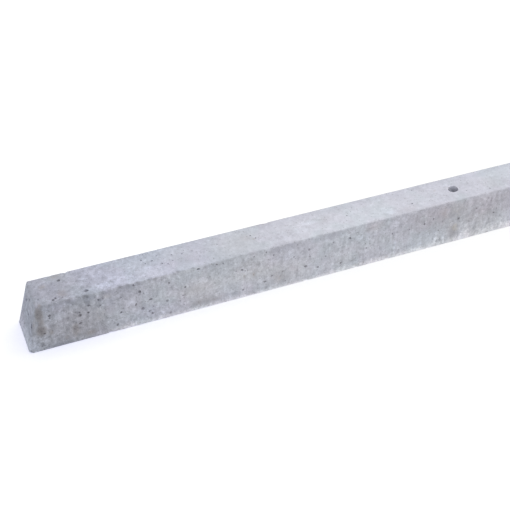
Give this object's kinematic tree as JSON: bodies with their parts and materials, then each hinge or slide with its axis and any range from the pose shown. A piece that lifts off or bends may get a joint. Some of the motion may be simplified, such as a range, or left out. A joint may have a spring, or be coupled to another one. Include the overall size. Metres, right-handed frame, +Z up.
{
  "type": "concrete fence post",
  "caption": "Short cast concrete fence post with drafted sides, a sloping top and through bolt holes; its foot is set in the ground and a timber post bolts to its wide face.",
  "frame": {"origin": "middle of the wide trowelled face that the post lies on", "axes": "+X along the post from its foot to its sloping top, +Y across it, +Z up through the bolt holes to the narrow moulded face"},
  "size_m": [1.2, 0.075, 0.075],
  "materials": {
    "concrete": "rough cast, matt, mottled grey"
  },
  "bodies": {
    "root": {"concrete_post": "concrete"}
  },
  "joints": []
}
